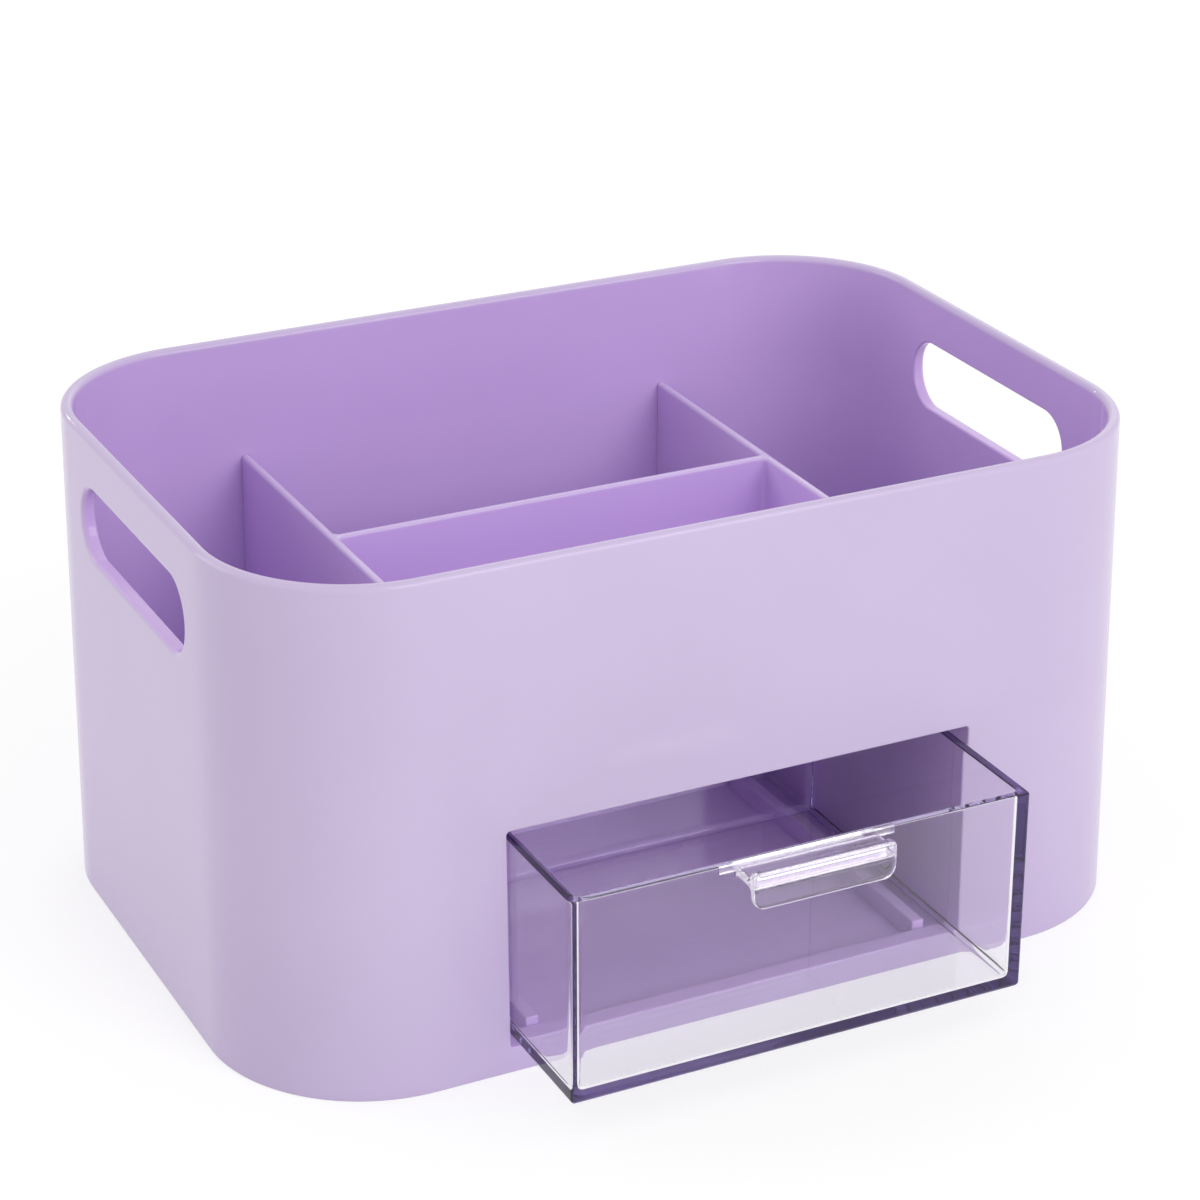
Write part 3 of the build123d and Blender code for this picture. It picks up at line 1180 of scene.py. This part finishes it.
@dataclass
class DrawerPull:
    """The clear pull: a foot let into the drawer's front rim, an arm with a trough and a bead, and a lip."""

    middle: float = -1.4
    half_width: float = 16.7
    front: float = -105.013  # the drawer's front face
    foot_back: float = -103.863
    foot_half: float = 20.45
    foot_bottom: float = 53.65
    root_half: float = 16.65
    root_bottom: float = 52.45
    rim: float = 55.3
    lip_round: float = 0.35
    tail: float = -104.5  # where the arm ends inside the foot
    tail_slack: float = 0.15  # how much smaller it is there
    tail_reach: float = 0.1  # how far ahead of the front face that smaller part goes
    shoulder: float = 0.35  # from the front face to where the arm has its full height
    arm_top: float = 54.6
    arm_bottom: float = 52.4
    arm_round: float = 1.1
    trough_y: float = -110.1
    bead_top: float = 56.5
    lip_back: float = -111.013
    lip_front: float = -112.813
    lip_bottom: float = 47.8
    soft: float = 0.8
    bead_round: float = 0.45
    end_round: float = 0.7
    low_corner: float = 3.2
    high_corner: float = 1.5
    turn_cells: int = 6
    straight_rows: int = 25
    upper_cells: tuple[int, ...] = (1, 0, 1, 0, 3, 4, 3, 3, 2, 8, 8, 0, 10, 10, 0)
    lower_cells: tuple[int, ...] = (1, 0, 1, 0, 10, 13, 8, 0, 10, 10, 0)
    ribs: int = 10

    def half_at(self, height: Array) -> Array:
        """Half width at a height, less at the lip's foot and the bead's top, where the corners are round."""
        low = np.clip(self.lip_bottom + self.low_corner - height, 0, self.low_corner)
        high = np.clip(height - self.bead_top + self.high_corner, 0, self.high_corner)
        low_loss = self.low_corner - np.sqrt(self.low_corner**2 - low**2)
        high_loss = self.high_corner - np.sqrt(self.high_corner**2 - high**2)
        return self.half_width - low_loss - high_loss

    def arm(self) -> Array:
        """The arm and lip as a block of points.

        The section lies between an upper line, over the trough and the bead and down the lip's front, and a
        lower line, under the arm and down the lip's back. It is drawn in towards both ends by a quarter
        circle, and the width follows the height.

        Returns:
            Points by place across, place along the section and place through it.
        """
        corner_z = self.lip_bottom + self.low_corner
        out = self.front - self.shoulder
        tail_top, tail_bottom = self.arm_top - self.tail_slack, self.arm_bottom + self.tail_slack
        upper, upper_out = rounded_path(
            [
                (self.tail, tail_top), (self.front, tail_top), (out, self.arm_top),
                (self.trough_y, self.arm_top), (self.lip_back, self.bead_top),
                (self.lip_front, self.bead_top), (self.lip_front, corner_z),
                (self.lip_front, self.lip_bottom), (self.lip_front + self.soft, self.lip_bottom),
            ],
            [0, 0, self.soft, self.bead_round, self.bead_round, 0, self.soft],
            self.upper_cells,
            side=1,
        )
        lower, lower_out = rounded_path(
            [
                (self.tail, tail_bottom), (self.front, tail_bottom), (out, self.arm_bottom),
                (self.lip_back, self.arm_bottom), (self.lip_back, corner_z),
                (self.lip_back, self.lip_bottom), (self.lip_back - self.soft, self.lip_bottom),
            ],
            [0, 0, self.arm_round, 0, self.soft],
            self.lower_cells,
            side=-1,
        )
        turn = quarter(self.turn_cells)[1:]
        straight = self.half_width - self.end_round
        end = straight + self.end_round * np.sin(turn)
        across = np.concatenate([-end[::-1], np.linspace(-straight, straight, self.straight_rows), end])
        inset = self.end_round * (1 - np.cos(turn))
        inset = np.concatenate([inset[::-1], np.zeros(self.straight_rows), inset])[:, None, None]
        share = np.linspace(0, 1, self.ribs + 1)[:, None]
        upper, lower = (upper - upper_out * inset)[:, :, None], (lower - lower_out * inset)[:, :, None]
        section = upper * (1 - share) + lower * share
        slack = np.where(section[..., 0] > self.front - self.tail_reach, self.tail_slack, 0)
        x = across[:, None, None] * (self.half_at(section[..., 1]) - slack) / self.half_width
        return np.concatenate([self.middle + x[..., None], section], axis=-1)

    def foot(self) -> Array:
        """The foot as a block of points: its section from the rim down, deeper between the root's ends.

        Returns:
            Points by place across, place down the section and place through it.
        """
        half = np.array([self.root_half, self.root_half, self.foot_half])
        x = np.concatenate([-half[::-1], half])
        deep = np.array([False, False, True, True, False, False])
        bottom = np.where(deep, self.root_bottom, self.foot_bottom)
        middle = (self.front + self.lip_round, self.rim - self.lip_round)
        lip = arc(middle, self.lip_round, 90, 180, self.turn_cells)
        face = np.vstack([lip, [self.front, self.foot_bottom]])
        back = np.column_stack([np.full(len(face), self.foot_back), face[:, 1]])
        section = np.stack([face, back], axis=1)
        ends = (self.front, self.foot_back)
        low = np.stack([np.column_stack([np.full(len(x), y), bottom]) for y in ends], axis=1)
        section = np.concatenate([np.broadcast_to(section, (len(x), *section.shape)), low[:, None]], axis=1)
        place = np.broadcast_to((self.middle + x)[:, None, None, None], (*section.shape[:3], 1))
        return np.concatenate([place, section], axis=-1)

    def build(self) -> bpy.types.Mesh:
        """Makes the mesh.

        Returns:
            The foot and the arm, joined into one closed solid.
        """
        parts = []
        for name, points in (("pull_foot", self.foot()), ("pull_arm", self.arm())):
            solid = Solid()
            solid.block(points)
            parts.append(in_scene(name, solid.mesh(name)))
        foot, arm = parts
        join = foot.modifiers.new("join", "BOOLEAN")
        join.operation, join.solver, join.object = "UNION", "EXACT", arm
        joined = foot.evaluated_get(bpy.context.evaluated_depsgraph_get())
        made = bpy.data.meshes.new_from_object(joined)
        made.name = "drawer_pull_clear"
        for part in parts:
            bpy.data.objects.remove(part)
        made.materials.clear()
        made.shade_smooth()
        made.set_sharp_from_angle(angle=SHARP)
        return made

    def add(self) -> None:
        """Builds and dresses the pull."""
        add_piece(self.build(), Body.DRAWER, Slot.PULL, "drawer_pull", CLEAR_PULL)


# Studio


@dataclass(frozen=True)
class SoftBox:
    """A square soft light, placed by the direction it stands in and aimed at the tote."""

    name: str
    azimuth: float  # degrees from straight ahead of the front, towards the right
    elevation: float
    distance: float  # metres
    size: float
    share: float  # of the plain light level, on a surface that faces it

    def add(self, target: Vector) -> None:
        """Adds the light.

        Args:
            target: What it is aimed at.
        """
        light = bpy.data.lights.new(self.name, "AREA")
        light.shape = "SQUARE"
        light.size = self.size
        light.energy = self.share * (math.pi * self.distance) ** 2
        lamp = in_scene(self.name, light)
        a, e = math.radians(self.azimuth), math.radians(self.elevation)
        back = Vector((math.sin(a) * math.cos(e), -math.cos(a) * math.cos(e), math.sin(e)))
        lamp.location = target + back * self.distance
        lamp.rotation_euler = back.to_track_quat("Z", "Y").to_euler()


@dataclass
class Studio:
    """White floor and surroundings, soft lights, and the camera of the photograph."""

    floor_radius: float = 6.0  # metres
    floor_rings: int = 4
    floor_sides: int = 64
    light_level: float = 0.74
    eye: tuple[float, float, float] = (-0.30693, -0.62925, 0.38338)
    back: tuple[float, float, float] = (-0.40277, -0.81782, 0.41104)
    focal: float = 3365.83 / PHOTO_WIDTH  # focal length over the frame's width
    sensor: float = 36.0
    clip: tuple[float, float] = (0.01, 50.0)
    bounces: tuple[tuple[str, int], ...] = (
        ("max", 32), ("diffuse", 6), ("glossy", 24), ("transmission", 24)
    )
    target: tuple[float, float, float] = (0.0, 0.0, 0.06)
    lights: tuple[SoftBox, ...] = (
        SoftBox("key", azimuth=15.0, elevation=28.0, distance=1.4, size=0.8, share=0.38),
        SoftBox("side_left", azimuth=-128.0, elevation=22.0, distance=1.4, size=0.8, share=0.18),
        SoftBox("back_right", azimuth=140.0, elevation=32.0, distance=1.6, size=1.0, share=0.08),
        SoftBox("glint_back", azimuth=-165.0, elevation=22.0, distance=1.4, size=0.08, share=0.03),
    )

    def add_floor(self) -> None:
        """Adds the floor: rings of a disc, each point a radius times the cosine and sine of an angle."""
        radii = np.linspace(0, self.floor_radius / MM, self.floor_rings)
        angles = np.linspace(0, 2 * math.pi, self.floor_sides + 1)[:-1]
        radius, angle = np.meshgrid(radii, angles, indexing="ij")
        points = np.dstack([radius * np.cos(angle), radius * np.sin(angle), np.zeros_like(radius)])
        disc = Solid()
        disc.grid(points, ring=True, flip=True)
        floor = in_scene("floor", disc.mesh("floor"))
        floor.data.materials.append(WHITE.material())

    def add_world(self) -> None:
        """Adds surroundings that light the object plainly and look white to whatever looks at them."""
        world = bpy.data.worlds.new("studio")
        bpy.context.scene.world = world
        graph = Graph(world)
        seen = graph.rays(Ray.CAMERA, Ray.GLOSSY, Ray.TRANSMISSION)
        level = seen * (1 - self.light_level) + self.light_level
        shade = graph.node("ShaderNodeBackground", {}, {"Color": WHITE_LIGHT, "Strength": level})
        graph.finish("ShaderNodeOutputWorld", {"Surface": shade})

    def add_camera(self) -> None:
        """Adds the camera, at the photograph's place and with its focal length."""
        data = bpy.data.cameras.new("camera")
        data.sensor_width = self.sensor
        data.lens = self.focal * self.sensor
        data.clip_start, data.clip_end = self.clip
        camera = in_scene("camera", data)
        camera.location = self.eye
        camera.rotation_euler = Vector(self.back).to_track_quat("Z", "Y").to_euler()
        bpy.context.scene.camera = camera

    def add(self) -> None:
        """Adds everything round the object."""
        self.add_camera()
        self.add_floor()
        self.add_world()
        for light in self.lights:
            light.add(Vector(self.target))
        scene = bpy.context.scene
        scene.view_settings.view_transform = "Standard"
        for kind, count in self.bounces:
            setattr(scene.cycles, f"{kind}_bounces", count)
        LOG.info("studio: %d lights", len(self.lights))


def main() -> None:
    """Builds everything in order."""
    logging.basicConfig(level=logging.INFO, format="%(name)s: %(message)s")
    Studio().add()
    for assembly in (ToteShell(), DividerInsert(), DrawerBox(), DrawerPull()):
        assembly.add()


if __name__ == "__main__":
    main()
